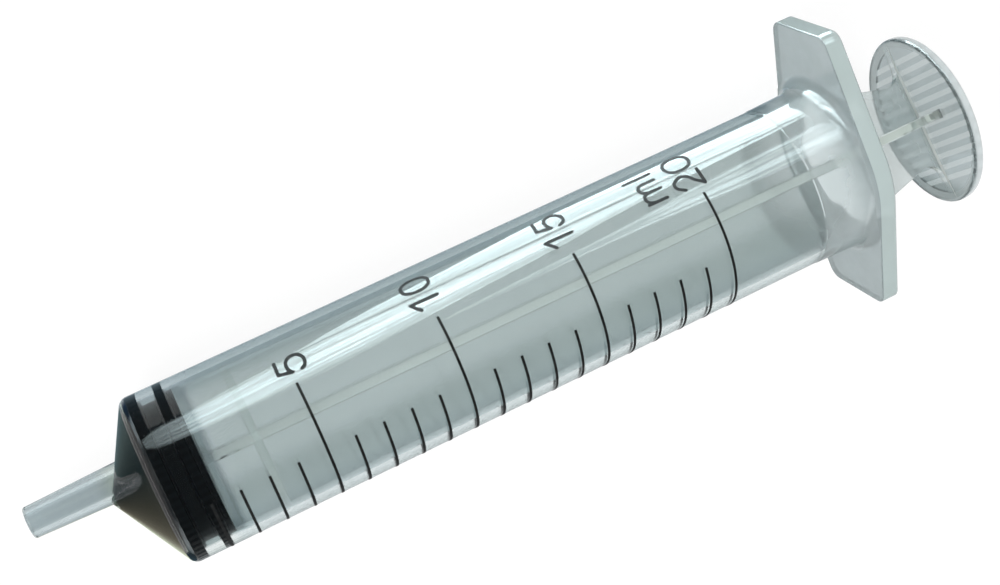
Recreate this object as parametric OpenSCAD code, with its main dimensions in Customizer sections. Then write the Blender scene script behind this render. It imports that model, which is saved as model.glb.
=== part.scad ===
// Disposable 20 ml syringe in three moulded pieces: a clear barrel with an
// eccentric slip tip, a clear plunger rod with cross ribs, and a black rubber
// gasket snapped on the rod's head. The printed scale is a fourth solid.
// +X runs along the barrel's axis from the tip to the thumb disc, +Y along the
// finger flange's long side, and +Z is the side that carries the scale.
// The origin is on the barrel's axis at the zero of the scale.

/* [Barrel] */
// Diameter of the bore
bore_d = 19; // [17:0.1:21]
// Thickness of the barrel's wall
wall = 1; // [0.7:0.05:1.3]
// Length of the barrel from the zero of the scale to the flange's front face
barrel_len = 90.8; // [70:0.2:110]
// Slope of the end cone, measured from the end plane
cone_angle = 28.8; // [22:0.2:34]
// Radius of the rounded shoulder where the end cone meets the barrel
shoulder_r = 1.3; // [0.5:0.1:2]
// Gap from the zero of the scale to the corner where the bore meets the end cone
bore_end = 0.5; // [0.45:0.05:1]
// Thickness of the end cone's wall
end_wall = 1.02; // [0.8:0.02:1.3]
// Length of the thicker collar in front of the flange
collar_len = 8.6; // [5:0.1:10]
// Height of the collar's step above the barrel
collar_step = 0.22; // [0.1:0.01:0.4]
// Length over which the step rises
collar_rise = 1; // [0.4:0.1:2]
// Distance from the flange's rear face to the bead that stops the gasket
bead_inset = 7.5; // [5:0.1:9]
// Height of the stop bead inside the bore
bead_h = 0.2; // [0.1:0.01:0.3]
// Length of the stop bead
bead_len = 1.4; // [1:0.1:2]
// Depth of the lead-in at the mouth of the bore
mouth_len = 1.2; // [0.5:0.1:2]
// Widening of the bore at its mouth
mouth_flare = 0.35; // [0.1:0.05:0.5]

/* [Finger flange] */
// Thickness of the flange
flange_t = 2.4; // [1.8:0.1:3]
// Length of the flange, tip to tip
flange_len = 37.5; // [34:0.1:44]
// Width of the flange at its ends
flange_end_w = 13; // [10:0.1:15]
// Width by which the flange's round middle stands out past the collar
flange_rim = 0.48; // [0.3:0.02:1.8]
// Corner radius of the flange's ends
flange_corner_r = 1.9; // [1:0.1:3]
// Radius of the fillet between the collar and the flange
flange_fillet = 1.8; // [1:0.1:2.4]
// Chamfer along the flange's rear edge
flange_chamfer = 0.35; // [0.2:0.05:0.6]

/* [Slip tip] */
// Distance from the barrel's axis to the tip's axis
tip_offset = 4.3; // [2:0.1:5]
// Distance from the zero of the scale to the tip's open end
tip_reach = 16.6; // [14:0.1:20]
// Diameter of the tip at its open end
tip_end_d = 3.95; // [3.9:0.01:4.1]
// Taper of the tip, growth of the diameter per length
tip_taper = 0.06; // [0.05:0.005:0.07]
// Diameter of the passage through the tip
tip_bore_d = 2.3; // [1.8:0.1:2.6]
// Chamfer at the tip's open end
tip_chamfer = 0.25; // [0.1:0.05:0.4]
// Length of the passage's widening, in front of the place where it meets the end cone
lead_len = 0.6; // [0.3:0.05:1]
// Slope of the widening
lead_angle = 20; // [10:1:30]

/* [Gasket] */
// Running gap between the gasket's sealing ribs and the bore
gasket_gap = 0.04; // [0.02:0.01:0.08]
// Gap left between the gasket's cone and the barrel's end cone at rest
seat_gap = 0.1; // [0.05:0.05:0.3]
// Length of each sealing rib
seal_len = 1.4; // [1:0.05:1.6]
// Length of the groove between the sealing ribs
groove_len = 1.75; // [1.2:0.05:2.4]
// Depth of the groove below the sealing ribs
groove_depth = 0.75; // [0.3:0.05:1]
// Length of the land behind the rear sealing rib
land_len = 0.65; // [0.3:0.05:1.2]
// Depth of the land below the sealing ribs
land_depth = 0.32; // [0.1:0.02:0.6]
// Length over which a sealing rib's edge is eased
seal_ease = 0.2; // [0.1:0.05:0.3]

/* [Plunger rod] */
// Angle by which the plunger is turned in the barrel
rod_turn = 26; // [0:1:89]
// Gap between the cross ribs' edges and the bore
rib_gap = 0.7; // [0.5:0.1:2]
// Thickness of each cross rib
rib_t = 1.2; // [0.9:0.1:1.6]
// Gap between the two guide discs and the bore
guide_gap = 0.35; // [0.25:0.05:0.6]
// Thickness of the guide disc behind the gasket
front_guide_t = 0.9; // [0.6:0.1:1.4]
// Thickness of the second guide disc
rear_guide_t = 0.9; // [0.6:0.1:1.4]
// Distance from the gasket's rear face to the second guide disc
rear_guide_gap = 6; // [4:0.1:12]
// Diameter of the neck inside the gasket's mouth
neck_d = 8.8; // [7:0.1:10]
// Length of the neck
neck_len = 1.5; // [1:0.1:2]
// Diameter of the head that the gasket snaps over
head_d = 11.6; // [10.6:0.1:13]
// Length of the head's round part
head_len = 2.2; // [1.4:0.1:2.6]
// Diameter of the flat on the head's nose
nose_d = 4; // [2:0.1:6]
// Clearance all round the head and the neck inside the gasket
head_gap = 0.05; // [0.03:0.01:0.08]
// Diameter of the ejector pins' marks on the ribs
ejector_d = 2.4; // [1.6:0.1:3]
// Depth of the ejector pins' marks
ejector_depth = 0.12; // [0.05:0.01:0.2]

/* [Thumb disc] */
// Room for the fingers between the flange and the thumb disc
finger_room = 11.5; // [8:0.1:30]
// Width by which the thumb disc stands out past the flange's round middle
thumb_overhang = 0.2; // [0:0.1:1.6]
// Thickness of the thumb disc
thumb_t = 1.4; // [1:0.1:2]
// Rounding of the thumb disc's edges
thumb_edge_r = 0.5; // [0.2:0.05:0.6]
// Width of the plain rim round the thumb disc's ridges
thumb_rim_w = 1.3; // [0.8:0.1:2]
// Depth of the panel that holds the ridges
ridge_h = 0.35; // [0.2:0.05:0.5]
// Distance from one ridge to the next
ridge_pitch = 1.48; // [1.2:0.02:2]
// Width of each ridge
ridge_w = 0.7; // [0.4:0.05:0.9]
// Diameter over the ribs at the narrowest place of the scoops
scoop_d = 11.3; // [9:0.1:13]
// Distance from the thumb disc's front face back to the start of the ribs' taper
scoop_len = 13.7; // [8:0.1:16]
// Radius of the scoops' round end
scoop_r = 1.8; // [1:0.1:2.4]
// Height of the low web that each rib runs out on across the disc
web_h = 0.3; // [0.1:0.05:0.5]

/* [Scale] */
// Distance from one mark to the next, one millilitre in this bore
mark_step = 3.53; // [3.3:0.01:3.7]
// Width of each mark
mark_w = 0.33; // [0.2:0.01:0.5]
// Thickness of the ink
ink_t = 0.04; // [0.02:0.01:0.06]
// Angle round the barrel, from the top, where the long marks start
long_start = -46; // [-60:1:-10]
// Angle round the barrel where the short marks start
short_start = 0; // [-9:1:30]
// Angle round the barrel where all the marks end
mark_end = 68; // [40:1:80]
// Least length of plain barrel between the last mark and the collar
plain_len = 10; // [6:0.5:20]

/* [Hidden] */
$fn = 96;

LONG_EVERY = 5;
RIDGES = 12;
ARC_STEPS = 6;
// A cut runs this far past the face that it opens
overrun = 1;

// The cone's gain in radius for each unit along the axis
cone_gain = 1 / tan(cone_angle);
// Axial length of a wall that is measured square to the cone
end_wall_x = end_wall / cos(cone_angle);

// The barrel's radii, and places along its axis
bore_r = bore_d / 2;
barrel_r = bore_r + wall;
collar_r = barrel_r + collar_step;
inner_apex_x = -bore_end - bore_r / cone_gain;
outer_apex_x = inner_apex_x - end_wall_x;
outer_corner_x = outer_apex_x + barrel_r / cone_gain;
collar_x = barrel_len - collar_len;
flange_rear_x = barrel_len + flange_t;
flange_mid_r = collar_r + flange_rim;
bead_x = flange_rear_x - bead_inset;
// As many marks as the plain barrel holds
marks = floor((collar_x - plain_len) / mark_step);

// The slip tip and the passage through it
tip_r = tip_end_d / 2;
tip_gain = tip_taper / 2;
tip_root_x = inner_apex_x + (tip_offset + tip_r) / cone_gain;
passage_r = tip_bore_d / 2;
lead_x = inner_apex_x + (tip_offset - passage_r) / cone_gain - lead_len;

// The gasket, from its front sealing rib back to its rear face
seal_r = bore_r - gasket_gap;
gasket_apex_x = inner_apex_x + seat_gap;
seal_front_x = gasket_apex_x + (seal_r - seal_ease) / cone_gain;
groove_x = seal_front_x + seal_len;
rear_seal_x = groove_x + groove_len;
land_x = rear_seal_x + seal_len;
gasket_rear_x = land_x + land_len;
groove_r = seal_r - groove_depth;
land_r = seal_r - land_depth;

// The plunger rod's head and guide discs
guide_x = gasket_rear_x + head_gap;
head_rear_x = guide_x - neck_len;
head_front_x = head_rear_x - head_len;
nose_len = (head_d - nose_d) / 2 / cone_gain;
rear_guide_x = gasket_rear_x + rear_guide_gap;
guide_r = bore_r - guide_gap;

// The ribs' outline near the thumb disc
rib_r = bore_r - rib_gap;
thumb_x = flange_rear_x + finger_room;
scoop_min_r = scoop_d / 2;
scoop_centre_x = thumb_x - web_h - scoop_r;
taper_x = thumb_x - scoop_len;
taper_run = scoop_centre_x - taper_x;
taper_angle = atan((rib_r - scoop_min_r) / taper_run);
thumb_r = flange_mid_r + thumb_overhang;
thumb_rear_x = thumb_x + thumb_t;
panel_r = thumb_r - thumb_rim_w;

// Points of an arc in the plane of a profile, as [x, y]
function arc(cx, cy, r, from, to) = [
    for (i = [0 : ARC_STEPS])
        let (a = from + (to - from) * i / ARC_STEPS)
            [cx + r * cos(a), cy + r * sin(a)]
];

// Turns a profile drawn as [x, radius] about the X axis
module turned(points) {
    rotate([0, 90, 0])
        rotate_extrude()
            polygon([for (p = points) [p[1], p[0]]]);
}

// A round bar or cone along X
module bar(x, len, r_from, r_to) {
    translate([x, 0, 0])
        rotate([0, 90, 0])
            cylinder(h = len, r1 = r_from, r2 = r_to);
}

// Outline of the barrel's outside, from the cone's apex to the flange
module barrel_outside() {
    centre_x = outer_corner_x + shoulder_r * tan((90 - cone_angle) / 2);
    centre_r = barrel_r - shoulder_r;
    turned(concat(
        [[outer_apex_x, 0]],
        arc(centre_x, centre_r, shoulder_r, 180 - cone_angle, 90),
        [
            [collar_x, barrel_r],
            [collar_x + collar_rise, collar_r],
            [flange_rear_x, collar_r],
            [flange_rear_x, 0]
        ]
    ));
}

// The space inside the barrel: end cone, bore, stop bead and flared mouth
module barrel_inside() {
    bead_ease = bead_len / 4;
    turned([
        [inner_apex_x, 0],
        [-bore_end, bore_r],
        [bead_x - bead_len / 2, bore_r],
        [bead_x - bead_ease, bore_r - bead_h],
        [bead_x + bead_ease, bore_r - bead_h],
        [bead_x + bead_len / 2, bore_r],
        [flange_rear_x - mouth_len, bore_r],
        [flange_rear_x, bore_r + mouth_flare],
        [flange_rear_x + overrun, bore_r + mouth_flare],
        [flange_rear_x + overrun, 0]
    ]);
}

// Outline of one flange, shrunk by inset all round: a round middle with an arm
// on each side whose sloped edges run as tangents from the middle to the corners
module flange_outline(inset) {
    corner_r = flange_corner_r - inset;
    corner_y = flange_len / 2 - flange_corner_r;
    corner_z = flange_end_w / 2 - flange_corner_r;
    mid_r = flange_mid_r - inset;
    reach = norm([corner_y, corner_z]);
    slope = 90 - atan2(corner_z, corner_y) - acos((mid_r - corner_r) / reach);
    side = [sin(slope), cos(slope)];
    circle(r = mid_r);
    for (sy = [-1, 1], sz = [-1, 1])
        translate([sy * corner_y, sz * corner_z])
            circle(r = corner_r);
    for (sy = [-1, 1])
        polygon([
            [0, mid_r],
            [sy * mid_r * side[0], mid_r * side[1]],
            [sy * (corner_y + corner_r * side[0]), corner_z + corner_r * side[1]],
            [sy * (corner_y + corner_r), corner_z],
            [sy * (corner_y + corner_r), -corner_z],
            [sy * (corner_y + corner_r * side[0]), -corner_z - corner_r * side[1]],
            [sy * mid_r * side[0], -mid_r * side[1]],
            [0, -mid_r]
        ]);
}

// The flange's outline as a slab along X, long side along Y
module flange_slab(x, len, inset) {
    translate([x, 0, 0])
        rotate([90, 0, 90])
            linear_extrude(height = len)
                flange_outline(inset);
}

module finger_flange() {
    flange_slab(barrel_len, flange_t - flange_chamfer, 0);
    flange_slab(barrel_len, flange_t, flange_chamfer);
    intersection() {
        flange_slab(barrel_len - flange_fillet - overrun, flange_fillet + 2 * overrun, 0);
        turned(concat(
            arc(
                barrel_len - flange_fillet,
                collar_r + flange_fillet,
                flange_fillet,
                270,
                360
            ),
            [
                [barrel_len + flange_t / 2, collar_r + flange_fillet],
                [barrel_len + flange_t / 2, bore_r + wall / 2],
                [barrel_len - flange_fillet, bore_r + wall / 2]
            ]
        ));
    }
}

module slip_tip() {
    root_len = tip_root_x + tip_reach;
    translate([0, 0, -tip_offset]) {
        bar(-tip_reach, tip_chamfer, tip_r - tip_chamfer, tip_r);
        bar(
            -tip_reach + tip_chamfer,
            root_len - tip_chamfer,
            tip_r,
            tip_r + (root_len - tip_chamfer) * tip_gain
        );
    }
}

// The passage through the tip, which widens where it opens into the barrel
module passage() {
    lead_end_x = tip_root_x + overrun;
    translate([0, 0, -tip_offset])
        turned([
            [-tip_reach - overrun, 0],
            [-tip_reach - overrun, passage_r],
            [lead_x, passage_r],
            [lead_end_x, passage_r + (lead_end_x - lead_x) * tan(lead_angle)],
            [lead_end_x, 0]
        ]);
}

module barrel() {
    color([0.74, 0.79, 0.79, 0.45])
        difference() {
            union() {
                barrel_outside();
                finger_flange();
                slip_tip();
            }
            barrel_inside();
            passage();
        }
}

// One mark: a thin band of ink on the barrel. Its angles turn from the top
// towards -Y, so a negative one lies on the +Y side
module mark(x, from) {
    translate([x + mark_w / 2, 0, 0])
        rotate([0, -90, 0])
            rotate([0, 0, -mark_end])
                rotate_extrude(angle = mark_end - from)
                    translate([barrel_r, 0])
                        square([ink_t, mark_w]);
}

module scale_lines() {
    color([0.1, 0.1, 0.12])
        for (i = [1 : marks])
            mark(i * mark_step, i % LONG_EVERY == 0 ? long_start : short_start);
}

module gasket() {
    cavity_r = head_d / 2 + head_gap;
    mouth_r = neck_d / 2 + head_gap;
    cavity_rear_x = head_rear_x + head_gap;
    cavity_front_x = head_front_x - head_gap;
    cavity_nose_r = nose_d / 2;
    cavity_nose_x = cavity_front_x - (cavity_r - cavity_nose_r) / cone_gain;
    color([0.09, 0.1, 0.12])
        difference() {
            turned([
                [gasket_apex_x, 0],
                [seal_front_x, seal_r - seal_ease],
                [seal_front_x + seal_ease, seal_r],
                [groove_x - seal_ease, seal_r],
                [groove_x, groove_r],
                [rear_seal_x, groove_r],
                [rear_seal_x + seal_ease, seal_r],
                [land_x - seal_ease, seal_r],
                [land_x, land_r],
                [gasket_rear_x, land_r],
                [gasket_rear_x, 0]
            ]);
            turned([
                [cavity_nose_x, 0],
                [cavity_nose_x, cavity_nose_r],
                [cavity_front_x, cavity_r],
                [cavity_rear_x, cavity_r],
                [cavity_rear_x, mouth_r],
                [gasket_rear_x + overrun, mouth_r],
                [gasket_rear_x + overrun, 0]
            ]);
        }
}

// Outline of one side of a rib, along X and outwards along Y, with the taper
// and the scoop under the thumb disc
module rib_outline() {
    polygon(concat(
        [
            [guide_x, 0],
            [guide_x, rib_r],
            [taper_x, rib_r]
        ],
        arc(
            scoop_centre_x,
            scoop_min_r + scoop_r,
            scoop_r,
            270 - taper_angle,
            360
        ),
        [
            [thumb_x, thumb_r - thumb_edge_r],
            [thumb_x + thumb_t / 2, thumb_r - thumb_edge_r],
            [thumb_x + thumb_t / 2, 0]
        ]
    ));
}

// The marks that ejector pins leave on both faces of a rib
module ejector_marks() {
    places = [
        (gasket_rear_x + rear_guide_x) / 2,
        thumb_x - scoop_r - ejector_d / 2
    ];
    for (x = places, s = [-1, 1], side = [-1, 1])
        translate([x, s * scoop_min_r / 2, side * rib_t / 2])
            cylinder(h = 2 * ejector_depth, d = ejector_d, center = true);
}

// A flat rib across the whole rod
module rib_plate() {
    difference() {
        translate([0, 0, -rib_t / 2])
            linear_extrude(height = rib_t) {
                rib_outline();
                mirror([0, 1])
                    rib_outline();
            }
        ejector_marks();
    }
}

// The thumb disc with round edges and a ridged panel in its rear face
module thumb_disc() {
    difference() {
        turned(concat(
            [[thumb_x, 0]],
            arc(
                thumb_x + thumb_edge_r,
                thumb_r - thumb_edge_r,
                thumb_edge_r,
                180,
                90
            ),
            arc(
                thumb_rear_x - thumb_edge_r,
                thumb_r - thumb_edge_r,
                thumb_edge_r,
                90,
                0
            ),
            [[thumb_rear_x, 0]]
        ));
        difference() {
            bar(thumb_rear_x - ridge_h, ridge_h + overrun, panel_r, panel_r);
            for (i = [0 : RIDGES - 1])
                translate([
                    thumb_rear_x - ridge_h - overrun,
                    (i - (RIDGES - 1) / 2) * ridge_pitch - ridge_w / 2,
                    -thumb_r
                ])
                    cube([ridge_h + 3 * overrun, ridge_w, 2 * thumb_r]);
        }
    }
}

module plunger_rod() {
    color([0.74, 0.79, 0.79, 0.55])
        rotate([-rod_turn, 0, 0]) {
            rib_plate();
            rotate([90, 0, 0])
                rib_plate();
            bar(guide_x, front_guide_t, guide_r, guide_r);
            bar(rear_guide_x, rear_guide_t, guide_r, guide_r);
            bar(head_front_x, guide_x - head_front_x + front_guide_t / 2, neck_d / 2, neck_d / 2);
            bar(head_front_x, head_len, head_d / 2, head_d / 2);
            bar(head_front_x - nose_len, nose_len, nose_d / 2, head_d / 2);
            thumb_disc();
        }
}

barrel();
scale_lines();
gasket();
plunger_rod();
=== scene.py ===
import math
from collections import namedtuple

import bmesh
import bpy
from mathutils import Matrix, Vector


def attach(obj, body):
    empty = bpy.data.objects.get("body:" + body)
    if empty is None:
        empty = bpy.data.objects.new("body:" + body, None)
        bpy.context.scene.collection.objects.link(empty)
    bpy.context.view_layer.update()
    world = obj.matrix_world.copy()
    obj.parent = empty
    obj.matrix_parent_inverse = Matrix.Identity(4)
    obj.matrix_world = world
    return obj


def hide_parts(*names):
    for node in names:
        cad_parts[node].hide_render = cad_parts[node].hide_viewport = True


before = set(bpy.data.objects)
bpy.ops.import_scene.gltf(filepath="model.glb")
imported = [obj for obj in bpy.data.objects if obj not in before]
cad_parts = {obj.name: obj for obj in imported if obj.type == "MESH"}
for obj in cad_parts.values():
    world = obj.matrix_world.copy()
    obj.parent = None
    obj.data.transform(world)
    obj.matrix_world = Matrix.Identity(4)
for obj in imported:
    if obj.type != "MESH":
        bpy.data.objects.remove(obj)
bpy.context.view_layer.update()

# All sizes are in millimetres, as in the part's source, and MM turns them into metres.
MM = 0.001
scene = bpy.context.scene

# Sizes of the barrel and its end cone
BORE_R = 9.5
BARREL_R = 10.5
BORE_END = -0.5
END_WALL = 1.02
CONE_ANGLE = 28.8
CONE_SLOPE = math.tan(math.radians(CONE_ANGLE))
INNER_APEX_X = BORE_END - BORE_R * CONE_SLOPE
OUTER_APEX_X = INNER_APEX_X - END_WALL / math.cos(math.radians(CONE_ANGLE))
# Radii of the rings on each cone, close together at its point, so that it shades as a true cone.
CONE_RINGS = (0, 0.05, 2, 4, 6, 8)
SHOULDER_R = 1.3
SHOULDER_X = OUTER_APEX_X + BARREL_R * CONE_SLOPE + SHOULDER_R * math.tan(math.radians(90 - CONE_ANGLE) / 2)

# Sizes of the collar, the stop bead and the finger flange
COLLAR_R = 10.72
COLLAR_X = 82.2
BEAD_X = 85.7
BEAD_H = 0.03
BEAD_LEN = 3.2
FLANGE_X = 90.8
FLANGE_REAR_X = 93.2
FLANGE_FILLET = 1.8

# Sizes of the slip tip, whose radius grows by TIP_TAPER for each millimetre of length
TIP_OFFSET = 4.3
TIP_END_X = -16.6
TIP_END_R = 1.975
TIP_TAPER = 0.03
PASSAGE_R = 1.15

# The numerals' ink: its height above the barrel, its thickness and half the width of a stroke
INK_HEIGHT = 0.035
INK_THICKNESS = 0.03
STROKE_HALF = 0.21

# Camera
CAMERA_PLACE = Vector((8.5, 84.8, 164.8))
CAMERA_RIGHT = Vector((0.8886, -0.3022, 0.3449))
CAMERA_UP = Vector((0.4158, 0.8483, -0.3277))
CAMERA_BACK = Vector((-0.1935, 0.4346, 0.8796))


def add_camera():
    data = bpy.data.cameras.new("camera")
    data.lens = 55.75
    data.sensor_width = 36
    data.clip_start = 0.01
    camera = bpy.data.objects.new("camera", data)
    axes = Matrix((CAMERA_RIGHT, CAMERA_UP, CAMERA_BACK)).transposed().to_4x4()
    axes.translation = CAMERA_PLACE * MM
    camera.matrix_world = axes
    scene.collection.objects.link(camera)
    scene.camera = camera


add_camera()
scene.view_settings.view_transform = "Standard"
scene.cycles.max_bounces = 20
scene.cycles.transmission_bounces = 20
scene.cycles.glossy_bounces = 8


# Node helpers
class Nodes:
    """Builds one node tree, with links written as calls."""

    def __init__(self, tree):
        self.tree = tree
        tree.nodes.clear()

    def add(self, kind, inputs=None, **settings):
        node = self.tree.nodes.new(kind)
        for key, value in settings.items():
            setattr(node, key, value)
        for key, value in (inputs or {}).items():
            if isinstance(value, bpy.types.NodeSocket):
                self.tree.links.new(value, node.inputs[key])
            else:
                node.inputs[key].default_value = value
        return node

    def math(self, operation, *values):
        return self.add("ShaderNodeMath", dict(enumerate(values)), operation=operation).outputs[0]

    def map_range(self, value, start, end, low, high, interpolation="LINEAR"):
        return self.add(
            "ShaderNodeMapRange",
            {"Value": value, "From Min": start, "From Max": end, "To Min": low, "To Max": high},
            interpolation_type=interpolation,
        ).outputs[0]

    def fade(self, value, start, end, low, high):
        """A smooth change from low at start to high at end."""
        return self.map_range(value, start, end, low, high, "SMOOTHSTEP")

    def between(self, value, low, high):
        """1 where a length lies between two places in millimetres."""
        return self.math("COMPARE", value, (low + high) / 2 * MM, (high - low) / 2 * MM)

    def mix_number(self, fac, a, b):
        return self.add("ShaderNodeMix", {0: fac, 2: a, 3: b}, data_type="FLOAT").outputs[0]

    def mix_color(self, fac, a, b, blend_type="MIX"):
        return self.add(
            "ShaderNodeMix", {0: fac, 6: a, 7: b}, data_type="RGBA", blend_type=blend_type
        ).outputs[2]

    def multiply(self, a, b):
        return self.mix_color(1.0, a, b, "MULTIPLY")

    def noise(self, place, scale, detail, **settings):
        inputs = {"Vector": place, "Scale": scale, "Detail": detail}
        return self.add("ShaderNodeTexNoise", inputs, **settings).outputs["Fac"]

    def stretch(self, place, scale):
        return self.add("ShaderNodeMapping", {"Vector": place, "Scale": scale}).outputs[0]

    def ramp(self, value, stops):
        """A colour ramp through (place, colour or grey level)."""
        node = self.add("ShaderNodeValToRGB", {"Fac": value})
        points = node.color_ramp.elements
        while len(points) < len(stops):
            points.new(0.5)
        for point, (place, color) in zip(points, stops):
            point.position = place
            point.color = (*color, 1) if isinstance(color, tuple) else (color, color, color, 1)
        return node.outputs["Color"]

    def along_axis(self, x, stops):
        """A colour or number by the place along the axis, from (x in mm, value)."""
        low, high = stops[0][0], stops[-1][0]
        place = self.map_range(x, low * MM, high * MM, 0.0, 1.0)
        return self.ramp(place, [((at - low) / (high - low), value) for at, value in stops])


def new_material(name):
    material = bpy.data.materials.new(name)
    material.use_nodes = True
    return material, Nodes(material.node_tree)


# Mesh helpers
def new_object(name, mesh, material=None, body=None):
    piece = bpy.data.objects.new(name, mesh)
    scene.collection.objects.link(piece)
    if material:
        mesh.materials.append(material)
    if body:
        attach(piece, body)
    return piece


def loft(name, rings):
    """A closed solid through rings that all hold the same number of points."""
    verts = [point * MM for ring in rings for point in ring]
    count = len(rings[0])
    faces = []
    for i in range(len(rings) - 1):
        for k in range(count):
            a, b = i * count + k, i * count + (k + 1) % count
            faces.append((a, b, b + count, a + count))
    faces.append(tuple(reversed(range(count))))
    last = (len(rings) - 1) * count
    faces.append(tuple(range(last, last + count)))
    mesh = bpy.data.meshes.new(name)
    mesh.from_pydata(verts, [], faces)
    make_outward(mesh)
    return mesh


def make_outward(mesh):
    bm = bmesh.new()
    bm.from_mesh(mesh)
    bmesh.ops.recalc_face_normals(bm, faces=bm.faces)
    if bm.calc_volume(signed=True) < 0:
        bmesh.ops.reverse_faces(bm, faces=bm.faces)
    bm.to_mesh(mesh)
    bm.free()


def turned(name, profile, segments=192, offset=(0, 0)):
    """A closed solid turned about the X axis from (x, radius); the ends may lie on the axis."""
    y0, z0 = offset
    verts, faces, rows = [], [], []
    for x, r in profile:
        if r <= 0:
            rows.append([len(verts)])
            verts.append(Vector((x, y0, z0)) * MM)
            continue
        rows.append(list(range(len(verts), len(verts) + segments)))
        for k in range(segments):
            a = 2 * math.pi * k / segments
            verts.append(Vector((x, y0 + r * math.cos(a), z0 + r * math.sin(a))) * MM)
    for a, b in zip(rows, rows[1:]):
        for k in range(segments):
            n = (k + 1) % segments
            if len(a) == 1 and len(b) == 1:
                continue
            if len(a) == 1:
                faces.append((a[0], b[k], b[n]))
            elif len(b) == 1:
                faces.append((a[k], a[n], b[0]))
            else:
                faces.append((a[k], a[n], b[n], b[k]))
    mesh = bpy.data.meshes.new(name)
    mesh.from_pydata(verts, [], faces)
    make_outward(mesh)
    return mesh


def arc(cx, cr, r, start, end, steps=8):
    points = []
    for i in range(steps + 1):
        a = math.radians(start + (end - start) * i / steps)
        points.append((cx + r * math.cos(a), cr + r * math.sin(a)))
    return points


def combine(target, mesh, operation):
    """Applies one boolean with another mesh to the target object."""
    other = bpy.data.objects.new("cutter", mesh)
    scene.collection.objects.link(other)
    modifier = target.modifiers.new("boolean", "BOOLEAN")
    modifier.operation = operation
    modifier.solver = "EXACT"
    modifier.object = other
    apply_modifiers(target)
    bpy.data.objects.remove(other)


def apply_modifiers(piece):
    graph = bpy.context.evaluated_depsgraph_get()
    mesh = bpy.data.meshes.new_from_object(piece.evaluated_get(graph))
    old = piece.data
    piece.modifiers.clear()
    piece.data = mesh
    bpy.data.meshes.remove(old)


def smooth(piece, angle):
    """Smooth faces, with sharp edges above the angle."""
    piece.data.polygons.foreach_set("use_smooth", [True] * len(piece.data.polygons))
    piece.data.set_sharp_from_angle(angle=math.radians(angle))


def shade(piece, angle=28, merge=0.0005):
    """Merges points that a boolean left close together, and keeps flat faces flat."""
    bm = bmesh.new()
    bm.from_mesh(piece.data)
    bmesh.ops.remove_doubles(bm, verts=bm.verts, dist=merge * MM)
    bmesh.ops.dissolve_degenerate(bm, edges=bm.edges, dist=merge * MM)
    bm.to_mesh(piece.data)
    bm.free()
    smooth(piece, angle)
    modifier = piece.modifiers.new("normals", "WEIGHTED_NORMAL")
    modifier.keep_sharp = True
    modifier.weight = 80
    apply_modifiers(piece)


# Floor, world and lamp
def seen_directly(nodes):
    """1 for what the camera, a reflection or a clear solid shows, 0 for light that falls on things."""
    path = nodes.add("ShaderNodeLightPath").outputs
    either = nodes.math("MAXIMUM", path["Is Camera Ray"], path["Is Glossy Ray"])
    return nodes.math("MAXIMUM", either, path["Is Transmission Ray"])


def floor_material():
    material, nodes = new_material("floor_card")
    paper = nodes.add("ShaderNodeBsdfDiffuse", {"Color": (0.88, 0.88, 0.88, 1)})
    shown = nodes.add("ShaderNodeBsdfDiffuse", {"Color": (0.13, 0.13, 0.13, 1)})
    white = nodes.add("ShaderNodeEmission", {"Strength": 0.91})
    background = nodes.add("ShaderNodeAddShader", {0: shown.outputs[0], 1: white.outputs[0]})
    surface = nodes.add(
        "ShaderNodeMixShader",
        {0: seen_directly(nodes), 1: paper.outputs[0], 2: background.outputs[0]},
    )
    nodes.add("ShaderNodeOutputMaterial", {"Surface": surface.outputs[0]})
    return material


def add_floor():
    size, z = 1500, -11.4
    corners = [(-size, -size, z), (size, -size, z), (size, size, z), (-size, size, z)]
    mesh = bpy.data.meshes.new("floor")
    mesh.from_pydata([Vector(c) * MM for c in corners], [], [(0, 1, 2, 3)])
    floor = new_object("floor", mesh, floor_material())
    floor.visible_glossy = False


def add_world():
    """A soft white studio, a little brighter towards the horizon."""
    world = bpy.data.worlds.new("studio")
    world.use_nodes = True
    scene.world = world
    nodes = Nodes(world.node_tree)
    place = nodes.add("ShaderNodeTexCoord")
    split = nodes.add("ShaderNodeSeparateXYZ", {0: place.outputs["Generated"]})
    level = nodes.fade(split.outputs["Z"], 0.0, 0.6, 1.0, 0.78)
    back = nodes.add("ShaderNodeBackground", {"Color": level, "Strength": 1.0})
    nodes.add("ShaderNodeOutputWorld", {"Surface": back.outputs[0]})


def add_lamp(name, place, size, power):
    data = bpy.data.lights.new(name, "AREA")
    data.shape = "DISK"
    data.size = size * MM
    data.energy = power
    lamp = bpy.data.objects.new(name, data)
    lamp.location = Vector(place) * MM
    lamp.rotation_euler = Vector(place).to_track_quat("Z", "Y").to_euler()
    lamp.visible_camera = False
    lamp.visible_glossy = False
    lamp.visible_transmission = False
    scene.collection.objects.link(lamp)


add_floor()
add_world()
# The lamp lights the tip's side. Neither reflections nor clear solids show it.
add_lamp("key_lamp", (-350, 60, 500), 300, 1.5)


# Reflector cards
# Each lies where a surface of the syringe mirrors it to the camera. On the barrel a
# place is given as (x, s), with s the way round from its top towards +Y.
EVEN = [(0.0, 1.0), (1.0, 1.0)]
WINDOW_BLUE = (0.8, 0.97, 1.0)
WINDOW_DISTANCE = 60


def around_axis(turn):
    return Vector((0, math.sin(turn), math.cos(turn)))


def on_barrel(x, s):
    normal = around_axis(s / BARREL_R)
    return Vector((x, 0, 0)) + normal * BARREL_R, normal


def on_cone(r, turn):
    slope = math.atan(CONE_SLOPE)
    normal = Vector((-math.cos(slope), 0, 0)) + around_axis(turn) * math.sin(slope)
    return Vector((OUTER_APEX_X + r * CONE_SLOPE, 0, 0)) + around_axis(turn) * r, normal


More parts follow.
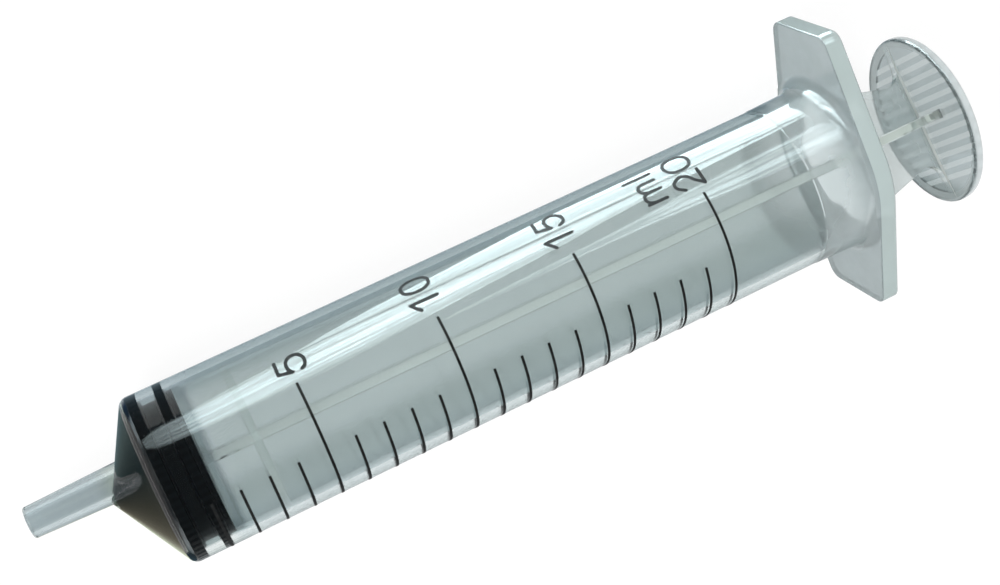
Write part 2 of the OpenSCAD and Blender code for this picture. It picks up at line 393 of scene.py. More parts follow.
def on_shoulder(lean, turn):
    """A place on the round edge between barrel and end cone, leaning towards the tip."""
    normal = Vector((-math.sin(lean), 0, 0)) + around_axis(turn) * math.cos(lean)
    centre = Vector((SHOULDER_X, 0, 0)) + around_axis(turn) * (BARREL_R - SHOULDER_R)
    return centre + normal * SHOULDER_R, normal


def on_tip(x, turn):
    normal = (around_axis(turn) + Vector((-TIP_TAPER, 0, 0))).normalized()
    r = TIP_END_R + (x - TIP_END_X) * TIP_TAPER
    return Vector((x, 0, -TIP_OFFSET)) + around_axis(turn) * r, normal


def mirrored(surface_place, distance):
    place, normal = surface_place
    view = (CAMERA_PLACE - place).normalized()
    return place + (2 * normal.dot(view) * normal - view) * distance


def barrel_rows(path, distance, rows=40, steps=10):
    """Rows of card points from (x, lowest s, highest s), evenly spaced along x."""
    out = []
    for i in range(rows + 1):
        x = path[0][0] + (path[-1][0] - path[0][0]) * i / rows
        k = max(j for j in range(len(path) - 1) if path[j][0] <= x)
        (xa, la, ha), (xb, lb, hb) = path[k], path[k + 1]
        t = min((x - xa) / (xb - xa), 1)
        low, high = la + (lb - la) * t, ha + (hb - ha) * t
        places = [on_barrel(x, low + (high - low) * j / steps) for j in range(steps + 1)]
        out.append([mirrored(place, distance) for place in places])
    return out


def add_card(name, rows, material):
    """A card through rows of points, which only reflections see."""
    verts = [point * MM for row in rows for point in row]
    count = len(rows[0])
    coords = [(i / (len(rows) - 1), k / (count - 1)) for i in range(len(rows)) for k in range(count)]
    faces = []
    for i in range(len(rows) - 1):
        for k in range(count - 1):
            a = i * count + k
            faces.append((a, a + 1, a + 1 + count, a + count))
    mesh = bpy.data.meshes.new(name)
    mesh.from_pydata(verts, [], faces)
    uv = mesh.uv_layers.new(name="card")
    for loop in mesh.loops:
        uv.data[loop.index].uv = coords[loop.vertex_index]
    card = new_object(name, mesh, material)
    card.visible_camera = False
    card.visible_diffuse = False
    card.visible_transmission = False
    card.visible_shadow = False
    return card


def plain_card(name, rows, along, across, strength=1.0):
    """A card whose colour is given by ramps along and across it, multiplied."""
    material, nodes = new_material(name)
    place = nodes.add("ShaderNodeUVMap", uv_map="card").outputs[0]
    split = nodes.add("ShaderNodeSeparateXYZ", {0: place}).outputs
    tone = nodes.multiply(nodes.ramp(split["X"], along), nodes.ramp(split["Y"], across))
    light = nodes.add("ShaderNodeEmission", {"Color": tone, "Strength": strength})
    nodes.add("ShaderNodeOutputMaterial", {"Surface": light.outputs[0]})
    return add_card(name, rows, material)


def window_card(name, rows, levels, strength, lines, scale=(1.3, 7.0, 1.0)):
    """A bright card with fine lines along it and frayed edges; lines is the level of the darkest line."""
    material, nodes = new_material(name)
    place = nodes.add("ShaderNodeUVMap", uv_map="card").outputs[0]
    split = nodes.add("ShaderNodeSeparateXYZ", {0: place}).outputs
    grain = nodes.noise(nodes.stretch(place, scale), 1.0, 3.0, noise_dimensions="2D")
    grain.node.inputs["Roughness"].default_value = 0.75
    fray = nodes.noise(nodes.stretch(place, (3.0, 30.0, 1.0)), 1.0, 2.0, noise_dimensions="2D")
    across = nodes.math("ADD", split["Y"], nodes.math("MULTIPLY_ADD", fray, 0.16, -0.08))
    edge = nodes.ramp(across, [(0.02, 0.0), (0.12, 1.0), (0.9, 1.0), (0.98, 0.0)])
    along = nodes.ramp(split["X"], [(at, tuple(level * c for c in WINDOW_BLUE)) for at, level in levels])
    glow = nodes.map_range(grain, 0.4, 0.58, lines * strength, strength)
    light = nodes.add("ShaderNodeEmission", {"Color": nodes.multiply(along, edge), "Strength": glow})
    nodes.add("ShaderNodeOutputMaterial", {"Surface": light.outputs[0]})
    return add_card(name, rows, material)


def add_window_cards():
    """The window's reflection.

    A lower and an upper band part beyond the numeral 5. A faint band lies above
    them near the gasket, and a side band below them near the flange.
    """
    low_band = [
        (-0.6, 8.9, 9.9), (0.4, 8.3, 10.5), (1.5, 8.0, 10.8), (4.9, 7.9, 10.95), (14.4, 7.9, 11.6),
        (21.2, 8.1, 12.05), (28, 8.4, 12.15), (32.1, 8.7, 12.15), (37.5, 9.0, 12.15), (41.6, 9.25, 12.15),
        (48.4, 9.6, 12.15), (53.2, 9.95, 12.15), (58.6, 10.45, 12.15), (65.4, 10.95, 12.2),
        (72.2, 11.3, 12.25), (79, 11.65, 12.3), (86, 12.0, 12.4),
    ]
    low_levels = [(0.0, 0.15), (0.06, 0.42), (0.1, 0.62), (0.33, 0.82), (0.6, 0.85), (1.0, 0.7)]
    rows = barrel_rows(low_band, WINDOW_DISTANCE, rows=60)
    window_card("window_low_card", rows, low_levels, 22, 0.3, (1.3, 12.0, 1.0))

    high_band = [
        (19, 12.05, 12.15), (23.3, 12.1, 12.8), (29.4, 12.1, 13.5), (36.2, 12.1, 14.0), (41.6, 12.1, 14.5),
        (48.4, 12.15, 15.15), (55.2, 12.2, 15.5), (68.8, 12.2, 15.6), (85.8, 12.2, 15.5), (95, 12.2, 15.3),
    ]
    rows = barrel_rows(high_band, WINDOW_DISTANCE, rows=60)
    window_card("window_high_card", rows, [(0.0, 0.5), (0.15, 0.75), (0.4, 1.0), (1.0, 1.0)], 18, 0.55)

    faint_band = [(4, 14.2, 15.1), (44, 14.0, 14.9)]
    rows = barrel_rows(faint_band, WINDOW_DISTANCE)
    window_card("faint_card", rows, [(0.0, 0.0), (0.15, 0.25), (0.8, 0.25), (1.0, 0.1)], 8, 0.3)

    side_band = [
        (36, 7.65, 7.9), (48.4, 7.6, 8.4), (55.2, 7.6, 8.65), (62, 7.5, 9.0), (68.8, 7.2, 9.6),
        (75.6, 6.8, 9.95), (82.4, 6.8, 10.2), (92, 6.9, 10.3),
    ]
    rows = barrel_rows(side_band, WINDOW_DISTANCE, rows=60)
    window_card("side_card", rows, [(0.0, 0.3), (0.25, 0.6), (0.7, 0.8)], 12, 0.25, (2.0, 5.0, 1.0))


def add_surround_card():
    """Across the barrel: pale at the bottom, dark over the middle, blue-grey at the top edge."""
    across = [
        (0.08, (0.8, 0.84, 0.85)), (0.2, (0.35, 0.37, 0.37)), (0.34, (0.04, 0.06, 0.07)),
        (0.72, (0.04, 0.06, 0.07)), (0.82, (0.14, 0.2, 0.24)), (0.92, (0.28, 0.38, 0.44)),
        (0.96, (0.7, 0.8, 0.85)), (1.0, (0.8, 0.9, 0.95)),
    ]
    rows = barrel_rows([(-9, -14, 22.5), (99, -14, 22.5)], 90, rows=24, steps=36)
    plain_card("surround_card", rows, EVEN, across)


def add_front_cards():
    """Cards for the end cone, the round edge behind it and the tip."""
    cone_radii = (0.5, 2, 4, 6, 8, 9.5, 11)
    cone_turns = [math.radians(turn) for turn in range(-85, 131, 5)]
    cone_tones = [
        (0.0, (0.12, 0.14, 0.1)), (0.07, (0.35, 0.38, 0.3)), (0.14, (1.0, 1.15, 0.9)),
        (0.22, (0.9, 0.95, 0.75)), (0.3, (0.45, 0.42, 0.32)), (0.44, (0.26, 0.26, 0.2)),
        (0.58, (0.08, 0.13, 0.14)), (0.72, (0.2, 0.28, 0.28)), (0.85, (0.16, 0.24, 0.26)),
        (1.0, (0.3, 0.38, 0.38)),
    ]
    rows = [[mirrored(on_cone(r, turn), 40) for r in cone_radii] for turn in cone_turns]
    plain_card("cone_card", rows, cone_tones, EVEN)

    leans = [math.radians(lean) for lean in (33, 34.5, 36, 37.5, 39)]
    shoulder_turns = [math.radians(turn) for turn in range(-70, 126, 5)]
    shoulder_tones = [(0.0, (0.7, 0.9, 0.7)), (0.5, (1.0, 0.95, 1.0)), (1.0, (0.7, 0.95, 0.8))]
    rows = [[mirrored(on_shoulder(lean, turn), 50) for lean in leans] for turn in shoulder_turns]
    plain_card("shoulder_card", rows, shoulder_tones, [(0.0, 0.0), (0.4, 1.0), (0.6, 1.0), (1.0, 0.0)], 3.6)

    tip_places = (-18, -15, -12, -9, -6, -4)
    tip_turns = [math.radians(turn) for turn in range(-54, 109, 3)]
    tip_tones = [
        (0.0, (0.05, 0.1, 0.14)), (0.14, (0.1, 0.16, 0.2)), (0.21, (2.6, 3.0, 3.1)),
        (0.28, (2.8, 3.1, 3.2)), (0.36, (0.3, 0.36, 0.4)), (0.44, (0.3, 0.34, 0.36)),
        (0.52, (0.9, 1.0, 1.0)), (0.6, (0.3, 0.36, 0.4)), (0.68, (3.0, 3.6, 3.8)),
        (0.74, (2.6, 3.2, 3.5)), (0.79, (0.1, 0.2, 0.35)), (0.88, (0.1, 0.2, 0.35)),
        (0.95, (0.8, 0.9, 0.95)),
    ]
    rows = [[mirrored(on_tip(x, turn), 45) for turn in tip_turns] for x in tip_places]
    plain_card("tip_card", rows, [(0.0, 0.8), (0.5, 0.9), (1.0, 1.0)], tip_tones)


def add_gasket_flag():
    """A black flag over the gasket, so that its groove stays dark in the middle."""
    across = [
        (0.0, (0.22, 0.26, 0.27)), (0.25, (0.002, 0.006, 0.008)), (0.75, (0.002, 0.006, 0.008)),
        (1.0, (0.1, 0.16, 0.2)),
    ]
    rows = [[mirrored(on_barrel(x, s), 90) for s in range(-10, 18)] for x in (-3, 0, 3, 6)]
    flag = plain_card("gasket_flag", rows, EVEN, across)
    flag.visible_transmission = True


add_window_cards()
add_surround_card()
add_front_cards()
add_gasket_flag()

# Materials
POLYPROPYLENE_IOR = 1.49
# A rim or cut edge with its own milkiness and colour, between two places and two radii.
Mark = namedtuple("Mark", "x_range r_range edges_only milk color")
# The rims of the cross ribs: turn, half thickness, milkiness, colour and glow along the axis, and end; the
# glow is painted light.
Ribs = namedtuple("Ribs", "turn half milk color glow end_x")


def moulded_bump(nodes, place, x):
    """Fine draw lines along the axis and a faint waviness of the wall; the front end is smoother."""
    draw = nodes.noise(nodes.stretch(place, (45.0, 1400.0, 1400.0)), 1.0, 2.0)
    draw = nodes.math("MULTIPLY", draw, nodes.fade(x, 3 * MM, 9 * MM, 0.15, 0.6))
    wave = nodes.noise(place, 140.0, 1.0)
    lines = nodes.add("ShaderNodeBump", {"Height": draw, "Strength": 0.35, "Distance": 0.006 * MM})
    return nodes.add(
        "ShaderNodeBump",
        {"Height": wave, "Strength": 0.2, "Distance": 0.02 * MM, "Normal": lines.outputs[0]},
    ).outputs[0]


def wall_colour_and_painted_shade(nodes, x, y, z, radius, color, under, edge_shade):
    """The wall's colour with painted shade: a little darker towards the underside, at the edges and at the
    foot.
    """
    tube_r = 10.9
    tube = nodes.math("LESS_THAN", radius, tube_r * MM)
    # Painted light and shade: below the axis the tube's wall takes the under colours instead of the top's.
    painted_underside_mask = nodes.math("MULTIPLY", nodes.fade(z, -7 * MM, 7 * MM, 1.0, 0.0), tube)
    tone = nodes.mix_color(painted_underside_mask, nodes.along_axis(x, color), nodes.along_axis(x, under))

    # Painted shade where the wall is seen on edge: strongly at the top's outline, softly at the bottom's.
    facing = nodes.add("ShaderNodeLayerWeight", {"Blend": 0.5}).outputs["Facing"]
    painted_outline_mask = nodes.math(
        "MULTIPLY", nodes.fade(facing, 0.25, 0.6, 0.0, 1.0), nodes.fade(z, 0.0, 5 * MM, 1.0, 0.12)
    )
    tone = nodes.multiply(tone, nodes.mix_color(painted_outline_mask, (1, 1, 1, 1), nodes.along_axis(x, edge_shade)))
    # Painted shade on the tube's -Y side, the foot.
    foot = nodes.math("MULTIPLY", nodes.fade(y, -9.2 * MM, -6.6 * MM, 1.0, 0.0), tube)
    return nodes.multiply(tone, nodes.mix_color(foot, (1, 1, 1, 1), (0.56, 0.61, 0.6, 1)))


def rib_rims(nodes, x, y, z, ribs):
    """The rims of the cross ribs, inside the thickness of one rib, and their glow, painted light on the
    faces seen from outside.
    """
    turn = math.radians(ribs.turn)
    across = []
    for a, b in ((math.cos(turn), -math.sin(turn)), (math.sin(turn), math.cos(turn))):
        across.append(nodes.math("ABSOLUTE", nodes.math("MULTIPLY_ADD", y, a, nodes.math("MULTIPLY", z, b))))
    rim = nodes.math("LESS_THAN", nodes.math("MINIMUM", *across), ribs.half * MM)
    rim = nodes.math("MULTIPLY", rim, nodes.math("LESS_THAN", x, ribs.end_x * MM))
    outside = nodes.math("SUBTRACT", 1.0, nodes.add("ShaderNodeNewGeometry").outputs["Backfacing"])
    glow = nodes.math("MULTIPLY", rim, nodes.along_axis(x, ribs.glow))
    return rim, nodes.math("MULTIPLY", glow, outside)


def mark_masks(nodes, x, radius, marks):
    """One mask for each mark; an edge is a face that looks outwards, not along the axis."""
    normal = nodes.add("ShaderNodeNewGeometry").outputs["True Normal"]
    along = nodes.math("ABSOLUTE", nodes.add("ShaderNodeSeparateXYZ", {0: normal}).outputs["X"])
    edge_on = nodes.fade(along, 0.2, 0.8, 1.0, 0.0)
    masks = []
    for mark in marks:
        mask = nodes.math("MULTIPLY", nodes.between(x, *mark.x_range), nodes.between(radius, *mark.r_range))
        masks.append(nodes.math("MULTIPLY", mask, edge_on) if mark.edges_only else mask)
    return masks


def clear_plastic(name, color, under, haze, roughness, edge_shade, absorb, marks, ribs=None):
    """Clear polypropylene with a colour and a milkiness that follow the axis.

    color is the wall's colour above the axis and under the one below it, their difference being
    painted light and shade; the edge colours paint shade where the wall is seen on edge; absorb is
    the share of red, green and blue that a millimetre takes.
    """
    material, nodes = new_material(name)
    place = nodes.add("ShaderNodeTexCoord").outputs["Object"]
    x, y, z = nodes.add("ShaderNodeSeparateXYZ", {0: place}).outputs
    around = nodes.add("ShaderNodeCombineXYZ", {"Y": y, "Z": z}).outputs[0]
    radius = nodes.add("ShaderNodeVectorMath", {0: around}, operation="LENGTH").outputs["Value"]

    tone = wall_colour_and_painted_shade(nodes, x, y, z, radius, color, under, edge_shade)
    cloud = nodes.fade(nodes.noise(place, 90.0, 5.0), 0.3, 0.7, 0.85, 1.15)
    milk = nodes.math("MULTIPLY", nodes.along_axis(x, haze), cloud)
    glow = 0.0
    if ribs:
        rim, glow = rib_rims(nodes, x, y, z, ribs)
        milk = nodes.mix_number(rim, milk, ribs.milk)
        tone = nodes.mix_color(rim, tone, nodes.along_axis(x, ribs.color))
    for mark, mask in zip(marks, mark_masks(nodes, x, radius, marks)):
        milk = nodes.mix_number(mask, milk, mark.milk)
        tone = nodes.mix_color(mask, tone, (*mark.color, 1))

    # The emission is the rib rims' painted glow; no other part of the plastic emits.
    surface = nodes.add(
        "ShaderNodeBsdfPrincipled",
        {
            "Base Color": tone,
            "Roughness": nodes.along_axis(x, roughness),
            "IOR": POLYPROPYLENE_IOR,
            "Transmission Weight": nodes.math("SUBTRACT", 1.0, milk),
            "Normal": moulded_bump(nodes, place, x),
            "Emission Color": (0.96, 1.0, 0.93, 1),
            "Emission Strength": glow,
        },
    )
    # Dense enough that the volume's colour keeps at least a fifth of each component.
    density = 1.25 * max(absorb) / MM
    clear = tuple(1 - a / MM / density for a in absorb)
    volume = nodes.add("ShaderNodeVolumeAbsorption", {"Color": (*clear, 1), "Density": density})
    nodes.add("ShaderNodeOutputMaterial", {"Surface": surface.outputs[0], "Volume": volume.outputs[0]})
    return material


def rubber_material():
    material, nodes = new_material("black_rubber")
    place = nodes.add("ShaderNodeTexCoord").outputs["Object"]
    fine = nodes.noise(place, 2500.0, 3.0)
    bump = nodes.add("ShaderNodeBump", {"Height": fine, "Strength": 0.1, "Distance": 0.05 * MM})
    surface = nodes.add(
        "ShaderNodeBsdfPrincipled",
        {
            "Base Color": (0.001, 0.0025, 0.004, 1),
            "Roughness": nodes.map_range(fine, 0.0, 1.0, 0.22, 0.42),
            "Normal": bump.outputs[0],
            "Specular IOR Level": 0.06,
        },
    )
    nodes.add("ShaderNodeOutputMaterial", {"Surface": surface.outputs[0]})
    return material


def ink_material():
    material, nodes = new_material("scale_ink")
    place = nodes.add("ShaderNodeTexCoord").outputs["Object"]
    wear = nodes.noise(place, 1800.0, 3.0)
    surface = nodes.add(
        "ShaderNodeBsdfPrincipled",
        {
            "Base Color": nodes.map_range(wear, 0.3, 0.7, 0.004, 0.02),
            "Roughness": 0.6,
            "Specular IOR Level": 0.2,
        },
    )
    nodes.add("ShaderNodeOutputMaterial", {"Surface": surface.outputs[0]})
    return material


def barrel_material():
    # Below the axis the under colours paint shade along the tube and light at the flange; edge is the
    # outline's painted shade.
    tip, cone_point, cone_rim = (0.6, 0.67, 0.69), (0.55, 0.6, 0.58), (0.45, 0.5, 0.45)
    over_gasket, flange, edge = (0.97, 1.0, 1.0), (0.45, 0.52, 0.535), (0.44, 0.53, 0.58)
    low_rear = (0.95, 0.97, 0.97)
    front = [(-17, tip), (-8, tip), (-6.2, cone_point), (-2.5, cone_rim)]
    return clear_plastic(
        "clear_barrel",
        color=front + [
            (-1, over_gasket), (4.2, over_gasket), (5.2, (0.86, 0.92, 0.94)), (81, (0.88, 0.94, 0.95)),
            (87, (0.8, 0.87, 0.88)), (90, (0.66, 0.73, 0.74)), (91.5, flange), (94, flange),
        ],
        under=front + [
            (-1, (0.61, 0.64, 0.65)), (5, (0.61, 0.64, 0.65)), (8, (0.58, 0.63, 0.62)),
            (84, (0.58, 0.63, 0.62)), (89, low_rear), (94, low_rear),
        ],
        haze=[
            (-17, 0.2), (-8, 0.2), (-6, 0.002), (5, 0.002), (9, 0.05), (80, 0.06), (83.4, 0.08),
            (83.8, 0.28), (89, 0.33), (91.5, 0.45), (94, 0.45),
        ],
        roughness=[(-17, 0.05), (84, 0.05), (91, 0.14), (94, 0.14)],
        edge_shade=[
            (-17, (0.8, 0.8, 0.8)), (-8, (0.8, 0.8, 0.8)), (0, edge), (84, edge),
            (91, (1, 1, 1)), (94, (1, 1, 1)),
        ],
        absorb=(0.01, 0.004, 0.007),
        marks=[Mark((90.9, 94), (10.9, 20), True, 0.75, (0.6, 0.7, 0.69))],
    )


def rod_material():
    head, shaft, neck, disc = (0.5, 0.55, 0.57), (0.95, 0.97, 0.97), (0.82, 0.88, 0.88), (0.4, 0.46, 0.47)
    rim, rim_neck = (0.99, 1.0, 0.98), (0.68, 0.76, 0.72)
    wall = [
        (0, head), (5.6, head), (6.4, shaft), (92, shaft),
        (96, neck), (104, neck), (104.6, disc), (107, disc),
    ]
    return clear_plastic(
        "clear_rod",
        color=wall,
        under=wall,
        haze=[(0, 0.06), (92, 0.06), (96, 0.3), (104, 0.3), (105, 0.1), (107, 0.1)],
        roughness=[(0, 0.08), (107, 0.08)],
        edge_shade=[(0, (1, 1, 1)), (107, (1, 1, 1))],
        absorb=(0.003, 0.001, 0.003),
        marks=[
            Mark((10.6, 11.65), (8.85, 10), False, 0.2, (0.95, 0.98, 0.97)),
            Mark((105.6, 107), (10.2, 12), False, 0.5, (0.8, 0.86, 0.86)),
            Mark((104.75, 107), (10.9, 12), True, 0.8, (0.68, 0.74, 0.75)),
            Mark((106.05, 106.2), (0, 10.05), False, 0.15, (0.85, 0.9, 0.9)),
            Mark((104.35, 104.72), (0, 11), True, 0.6, (0.95, 1.0, 0.97)),
        ],
        ribs=Ribs(
            turn=26, half=0.46, milk=0.3, end_x=104.2,
            color=[(0, head), (5.6, head), (6.4, rim), (91, rim), (95, rim_neck), (107, rim_neck)],
            # Painted glow of the rims, strongest along the shaft.
            glow=[(0, 0.0), (6.4, 0.0), (12, 0.04), (30, 0.12), (90, 0.12), (93, 0.0), (107, 0.0)],
        ),
    )


barrel_plastic = barrel_material()
rod_plastic = rod_material()
rubber = rubber_material()
ink = ink_material()


# Barrel
def flange_ring(x, inset):
    """The flange's outline at one place along the axis, shrunk by inset."""
    corner_y, corner_z, corner_r, mid_r, steps = 16.85, 4.6, 1.9, 11.2, 14
    reach = math.hypot(corner_y, corner_z)
    tangent = math.degrees(math.atan2(corner_z, corner_y) + math.acos((mid_r - corner_r) / reach))
    stretches = [
        (corner_y, corner_z, corner_r, 0, tangent),
        (0, 0, mid_r, tangent, 180 - tangent),
        (-corner_y, corner_z, corner_r, 180 - tangent, 180),
        (-corner_y, -corner_z, corner_r, 180, 180 + tangent),
        (0, 0, mid_r, 180 + tangent, 360 - tangent),
        (corner_y, -corner_z, corner_r, 360 - tangent, 360),
    ]
    ring = []
    for cy, cz, r, start, end in stretches:
        ring += [Vector((x, y, z)) for y, z in arc(cy, cz, r - inset, start, end, steps)]
    return ring


def flange_mesh():
    front_round, rear_round = 0.2, 0.35
    quarter = [math.radians(22.5 * i) for i in range(5)]
    rings = [
        flange_ring(FLANGE_X + front_round * (1 - math.cos(a)), front_round * (1 - math.sin(a)))
        for a in quarter
    ]
    rings += [
        flange_ring(FLANGE_REAR_X - rear_round * (1 - math.sin(a)), rear_round * (1 - math.cos(a)))
        for a in quarter
    ]
    return loft("flange", rings)


def neck_object():
    """The fillet between the collar and the flange, kept inside the flange's outline."""
    front_x, rear_x, core_r, top_r = 88.4, 91.9, 9.9, COLLAR_R + FLANGE_FILLET
    profile = [(front_x, 0), (front_x, core_r)]
    profile += arc(FLANGE_X - FLANGE_FILLET, top_r, FLANGE_FILLET, 270, 360, 12)
    profile += [(rear_x, top_r), (rear_x, core_r), (rear_x, 0)]
    neck = new_object("neck", turned("neck", profile))
    prism = loft("prism", [flange_ring(80, 0.0), flange_ring(92.5, 0.0)])
    combine(neck, prism, "INTERSECT")
    return neck


def outside_mesh():
    """The outside of cone, tube and collar, whose step is a fine one with a slow rise behind it."""
    collar_end = 92.0
    profile = [(OUTER_APEX_X + r * CONE_SLOPE, r) for r in CONE_RINGS]
    profile += arc(SHOULDER_X, BARREL_R - SHOULDER_R, SHOULDER_R, 180 - CONE_ANGLE, 90, 10)
    profile += [(x, BARREL_R) for x in (20, 40, 60, COLLAR_X - 0.2)]
    step = ((1.25, 0), (1.3, 0.01), (1.4, 0.05), (1.45, 0.06))
    profile += [(COLLAR_X + along, BARREL_R + height) for along, height in step]
    profile += [(COLLAR_X + 6.5, COLLAR_R), (collar_end, COLLAR_R), (collar_end, 0)]
    return turned("barrel_shell", profile)


def inside_mesh():
    """The bore with its inner cone, the low stop bead and the widening at its mouth."""
    corner_r, mouth_len, mouth_flare, past = 0.2, 1.2, 0.35, 1
    profile = [(INNER_APEX_X + r * CONE_SLOPE, r) for r in CONE_RINGS]
    profile += arc(BORE_END + 0.14, BORE_R - corner_r, corner_r, 180 - CONE_ANGLE, 90, 5)
    profile += [(x, BORE_R) for x in (20, 40, 60)]
    steps = 6
    for k in range(-steps, steps + 1):
        height = BEAD_H / 2 * (1 + math.cos(math.pi * k / steps))
        profile.append((BEAD_X + BEAD_LEN / 2 * k / steps, BORE_R - height))
    profile += [(FLANGE_REAR_X - mouth_len, BORE_R), (FLANGE_REAR_X, BORE_R + mouth_flare)]
    profile += [(FLANGE_REAR_X + past, BORE_R + mouth_flare + 0.1), (FLANGE_REAR_X + past, 0)]
    return turned("inside", profile)


def tip_mesh():
    end_round, root_x, root_r = 0.3, -2.6, 2.392
    profile = [(TIP_END_X, 0)]
    profile += arc(TIP_END_X + end_round, TIP_END_R - end_round, end_round, 180, 90, 6)
    profile += [(root_x, root_r), (root_x, 0)]
    return turned("tip", profile, 96, (0, -TIP_OFFSET))


def passage_mesh():
    """The passage through the tip, with a small chamfer at its open end."""
    chamfer, past, inner_x = 0.1, 1, -1.3
    profile = [
        (TIP_END_X - past, 0), (TIP_END_X - past, PASSAGE_R + chamfer), (TIP_END_X, PASSAGE_R + chamfer),
        (TIP_END_X + chamfer, PASSAGE_R), (inner_x, PASSAGE_R), (inner_x, 0),
    ]
    return turned("passage", profile, 96, (0, -TIP_OFFSET))


def barrel_shell():
    shell = new_object("barrel_shell", outside_mesh())
    neck = neck_object()
    combine(shell, neck.data.copy(), "UNION")
    bpy.data.objects.remove(neck)
    combine(shell, flange_mesh(), "UNION")
    combine(shell, tip_mesh(), "UNION")
    combine(shell, inside_mesh(), "DIFFERENCE")
    combine(shell, passage_mesh(), "DIFFERENCE")
    shade(shell)
    shell.data.materials.clear()
    shell.data.materials.append(barrel_plastic)
    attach(shell, "barrel")
    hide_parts("barrel")


barrel_shell()


# Gasket
def gasket():
    """The rubber, pressed a little into the bore and the end cone, so that it looks wetted there."""
    pressed = 0.02
    seal_r = BORE_R + pressed
    point_x, (rim_x, rim_r) = -5.75, (-0.66, 9.26)
    profile = [(point_x + r * (rim_x - point_x) / rim_r, r) for r in CONE_RINGS]
    profile += [(rim_x, rim_r), (-0.55, 9.42), (-0.45, seal_r), (0.67, seal_r)]
    groove_r, groove_side_r = 8.71, 8.9
    profile += [(0.80, 9.36), (0.866, groove_side_r), (0.95, groove_r)]
    profile += [(2.53, groove_r), (2.616, groove_side_r), (2.68, 9.36)]
    profile += [(2.816, seal_r), (3.8, seal_r), (3.94, 9.4), (4.016, 9.14), (4.62, 9.14)]
    rear_x, lip_x, mouth_r, socket_r = 4.666, 3.216, 4.45, 5.85
    profile += [(rear_x, 9.1), (rear_x, mouth_r), (lip_x, mouth_r), (lip_x, socket_r)]
    profile += [(0.916, socket_r), (-1.2, 2.0), (-1.2, 0)]
    piece = new_object("gasket_rubber", turned("gasket_rubber", profile), rubber, "gasket")
    smooth(piece, 25)
    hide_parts("gasket")


gasket()

for name, material in (("plunger_rod", rod_plastic), ("scale_lines", ink)):
    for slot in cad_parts[name].material_slots:
        slot.material = material


# Numerals
def smooth_path(points, steps=6):
    """A curve through the points, as short straight steps."""
    path = []
    for i in range(len(points) - 1):
        before = points[max(i - 1, 0)]
        a, b = points[i], points[i + 1]
        after = points[min(i + 2, len(points) - 1)]
        for k in range(steps):
            t = k / steps
            path.append(tuple(
                0.5 * (2 * a[j] + (b[j] - before[j]) * t
                       + (2 * before[j] - 5 * a[j] + 4 * b[j] - after[j]) * t * t
                       + (3 * a[j] - before[j] - 3 * b[j] + after[j]) * t ** 3)
                for j in (0, 1)
            ))
    path.append(points[-1])
    return path


def ring_path(x_low, x_high, s_low, s_high, steps=28):
    """A rounded 0: straighter sides than an ellipse."""
    cx, cs = (x_low + x_high) / 2, (s_low + s_high) / 2
    rx, rs = (x_high - x_low) / 2, (s_high - s_low) / 2
    path = []
    for i in range(steps + 1):
        a = 2 * math.pi * i / steps
        c, s = math.cos(a), math.sin(a)
        path.append((cx + rx * math.copysign(abs(c) ** 0.88, c), cs + rs * math.copysign(abs(s) ** 0.88, s)))
    return path


def stroke_mesh(name, strokes):
    """Ink strokes on the barrel, from paths of (x, s), with round ends."""
    verts, faces = [], []
    half = STROKE_HALF

    def put(x, s):
        turn = s / BARREL_R
        r = BARREL_R + INK_HEIGHT
        verts.append(Vector((x, r * math.sin(turn), r * math.cos(turn))) * MM)
        return len(verts) - 1

    for path in strokes:
        sides = []
        for i, (x, s) in enumerate(path):
            a, b = path[max(i - 1, 0)], path[min(i + 1, len(path) - 1)]
            if path[0] == path[-1] and i in (0, len(path) - 1):
                a, b = path[-2], path[1]
            dx, ds = b[0] - a[0], b[1] - a[1]
            size = math.hypot(dx, ds)
            nx, ns = -ds / size * half, dx / size * half
            sides.append((put(x + nx, s + ns), put(x - nx, s - ns)))
        for (a, b), (c, d) in zip(sides, sides[1:]):
            faces.append((a, b, d, c))
        if path[0] == path[-1]:
            continue
        for (x, s), other in ((path[0], path[1]), (path[-1], path[-2])):
            away = math.atan2(s - other[1], x - other[0])
            fan = [put(x + half * math.cos(away + math.pi * (k / 8 - 0.5)),
                       s + half * math.sin(away + math.pi * (k / 8 - 0.5))) for k in range(9)]
            faces.append(tuple(fan))
    mesh = bpy.data.meshes.new(name)
    mesh.from_pydata(verts, [], faces)
    return mesh


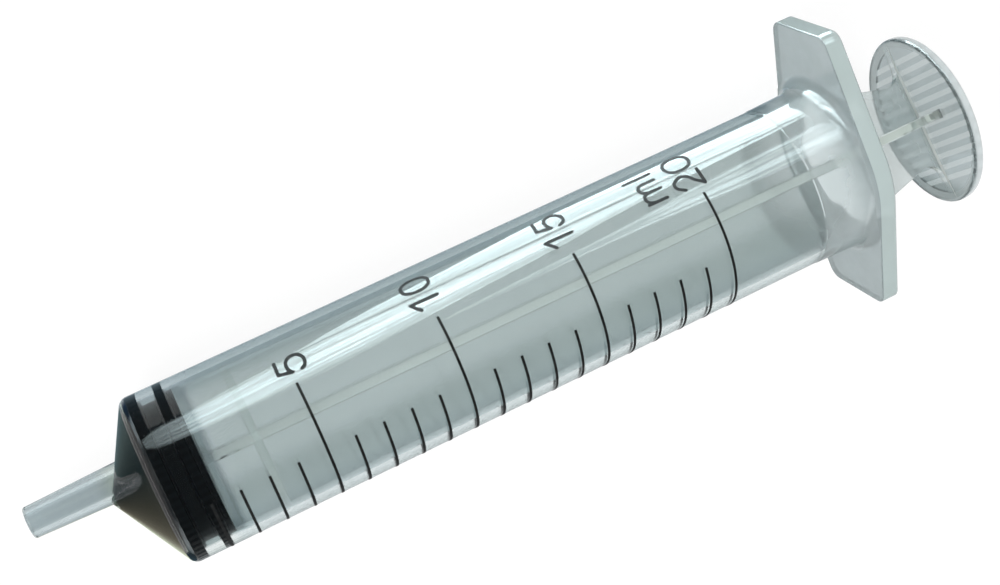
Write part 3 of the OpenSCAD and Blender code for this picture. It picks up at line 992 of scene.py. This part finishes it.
def add_numeral(name, strokes):
    piece = new_object(name, stroke_mesh(name, strokes), ink, "barrel")
    solid = piece.modifiers.new("thickness", "SOLIDIFY")
    solid.thickness = INK_THICKNESS * MM
    solid.offset = 0
    apply_modifiers(piece)


FIVE = [
    [(16.25, 11.81), (16.18, 10.15)],
    [(16.18, 10.15), (17.8, 9.81)],
    smooth_path([
        (17.8, 9.81), (17.45, 10.27), (17.44, 11.14), (17.95, 11.76), (18.57, 11.89), (19.19, 11.65),
        (19.57, 11.02), (19.51, 10.31), (19.22, 9.89), (18.9, 9.75),
    ]),
]
TEN = [
    [(36.58, 11.13), (33.13, 11.15)],
    [(33.13, 11.15), (34.05, 9.99)],
    ring_path(33.1, 36.55, 12.7, 15.0),
]
FIFTEEN = [
    [(54.21, 11.07), (50.7, 11.12)],
    [(50.7, 11.12), (51.63, 9.94)],
    [(50.81, 14.97), (50.68, 13.31)],
    [(50.68, 13.31), (52.44, 12.93)],
    smooth_path([
        (52.44, 12.93), (52.15, 13.54), (52.15, 14.5), (52.74, 15.06), (53.43, 15.07), (54.05, 14.62),
        (54.32, 13.83), (54.13, 13.16), (53.5, 12.76),
    ]),
]
TWENTY = [
    [(71.61, 11.83), (71.52, 9.57)],
    smooth_path([
        (71.52, 9.57), (70.56, 10.48), (70.06, 11.24), (69.23, 11.7), (68.32, 11.3), (68.0, 10.8),
        (68.14, 10.2), (68.88, 9.65),
    ]),
    ring_path(68.3, 71.6, 12.6, 15.4),
]
MILLILITRES = [
    [(66.45, 9.85), (64.0, 9.85)],
    smooth_path([(64.9, 9.85), (64.2, 10.2), (64.0, 10.75), (64.25, 11.3), (64.8, 11.5)])
    + [(66.45, 11.5)],
    smooth_path([(64.9, 11.5), (64.2, 11.85), (64.0, 12.4), (64.25, 12.95), (64.8, 13.15)])
    + [(66.45, 13.15)],
    [(66.5, 14.5), (63.0, 14.5)],
]
add_numeral("numeral_5", FIVE)
add_numeral("numeral_10", TEN)
add_numeral("numeral_15", FIFTEEN)
add_numeral("numeral_20", TWENTY)
add_numeral("unit_ml", MILLILITRES)
